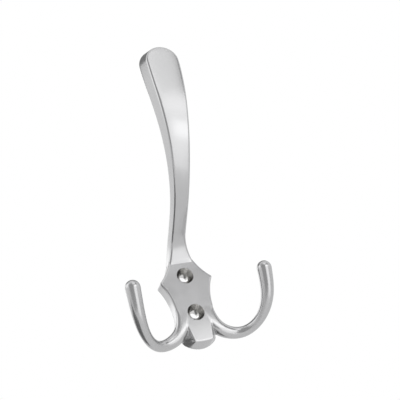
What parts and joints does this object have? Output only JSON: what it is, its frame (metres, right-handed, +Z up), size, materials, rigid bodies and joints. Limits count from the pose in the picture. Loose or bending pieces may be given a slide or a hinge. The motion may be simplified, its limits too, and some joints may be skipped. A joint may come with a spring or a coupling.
{
  "type": "bath hook",
  "caption": "Die-cast wall hook: a waisted plate with countersunk screw holes, a tall flat-faced hat arm that sweeps up and out, and round coat prongs curling from its lower end.",
  "frame": {"origin": "on the wall plane, midway between the two screw holes", "axes": "+Z up along the wall, +Y into the wall, so the front faces -Y, and +X to the right as seen from the front"},
  "size_m": [0.0784, 0.0678, 0.1474],
  "materials": {
    "satin_plate": "satin plating on a zinc alloy casting"
  },
  "bodies": {
    "root": {"triple_hook": "satin_plate"}
  },
  "joints": []
}
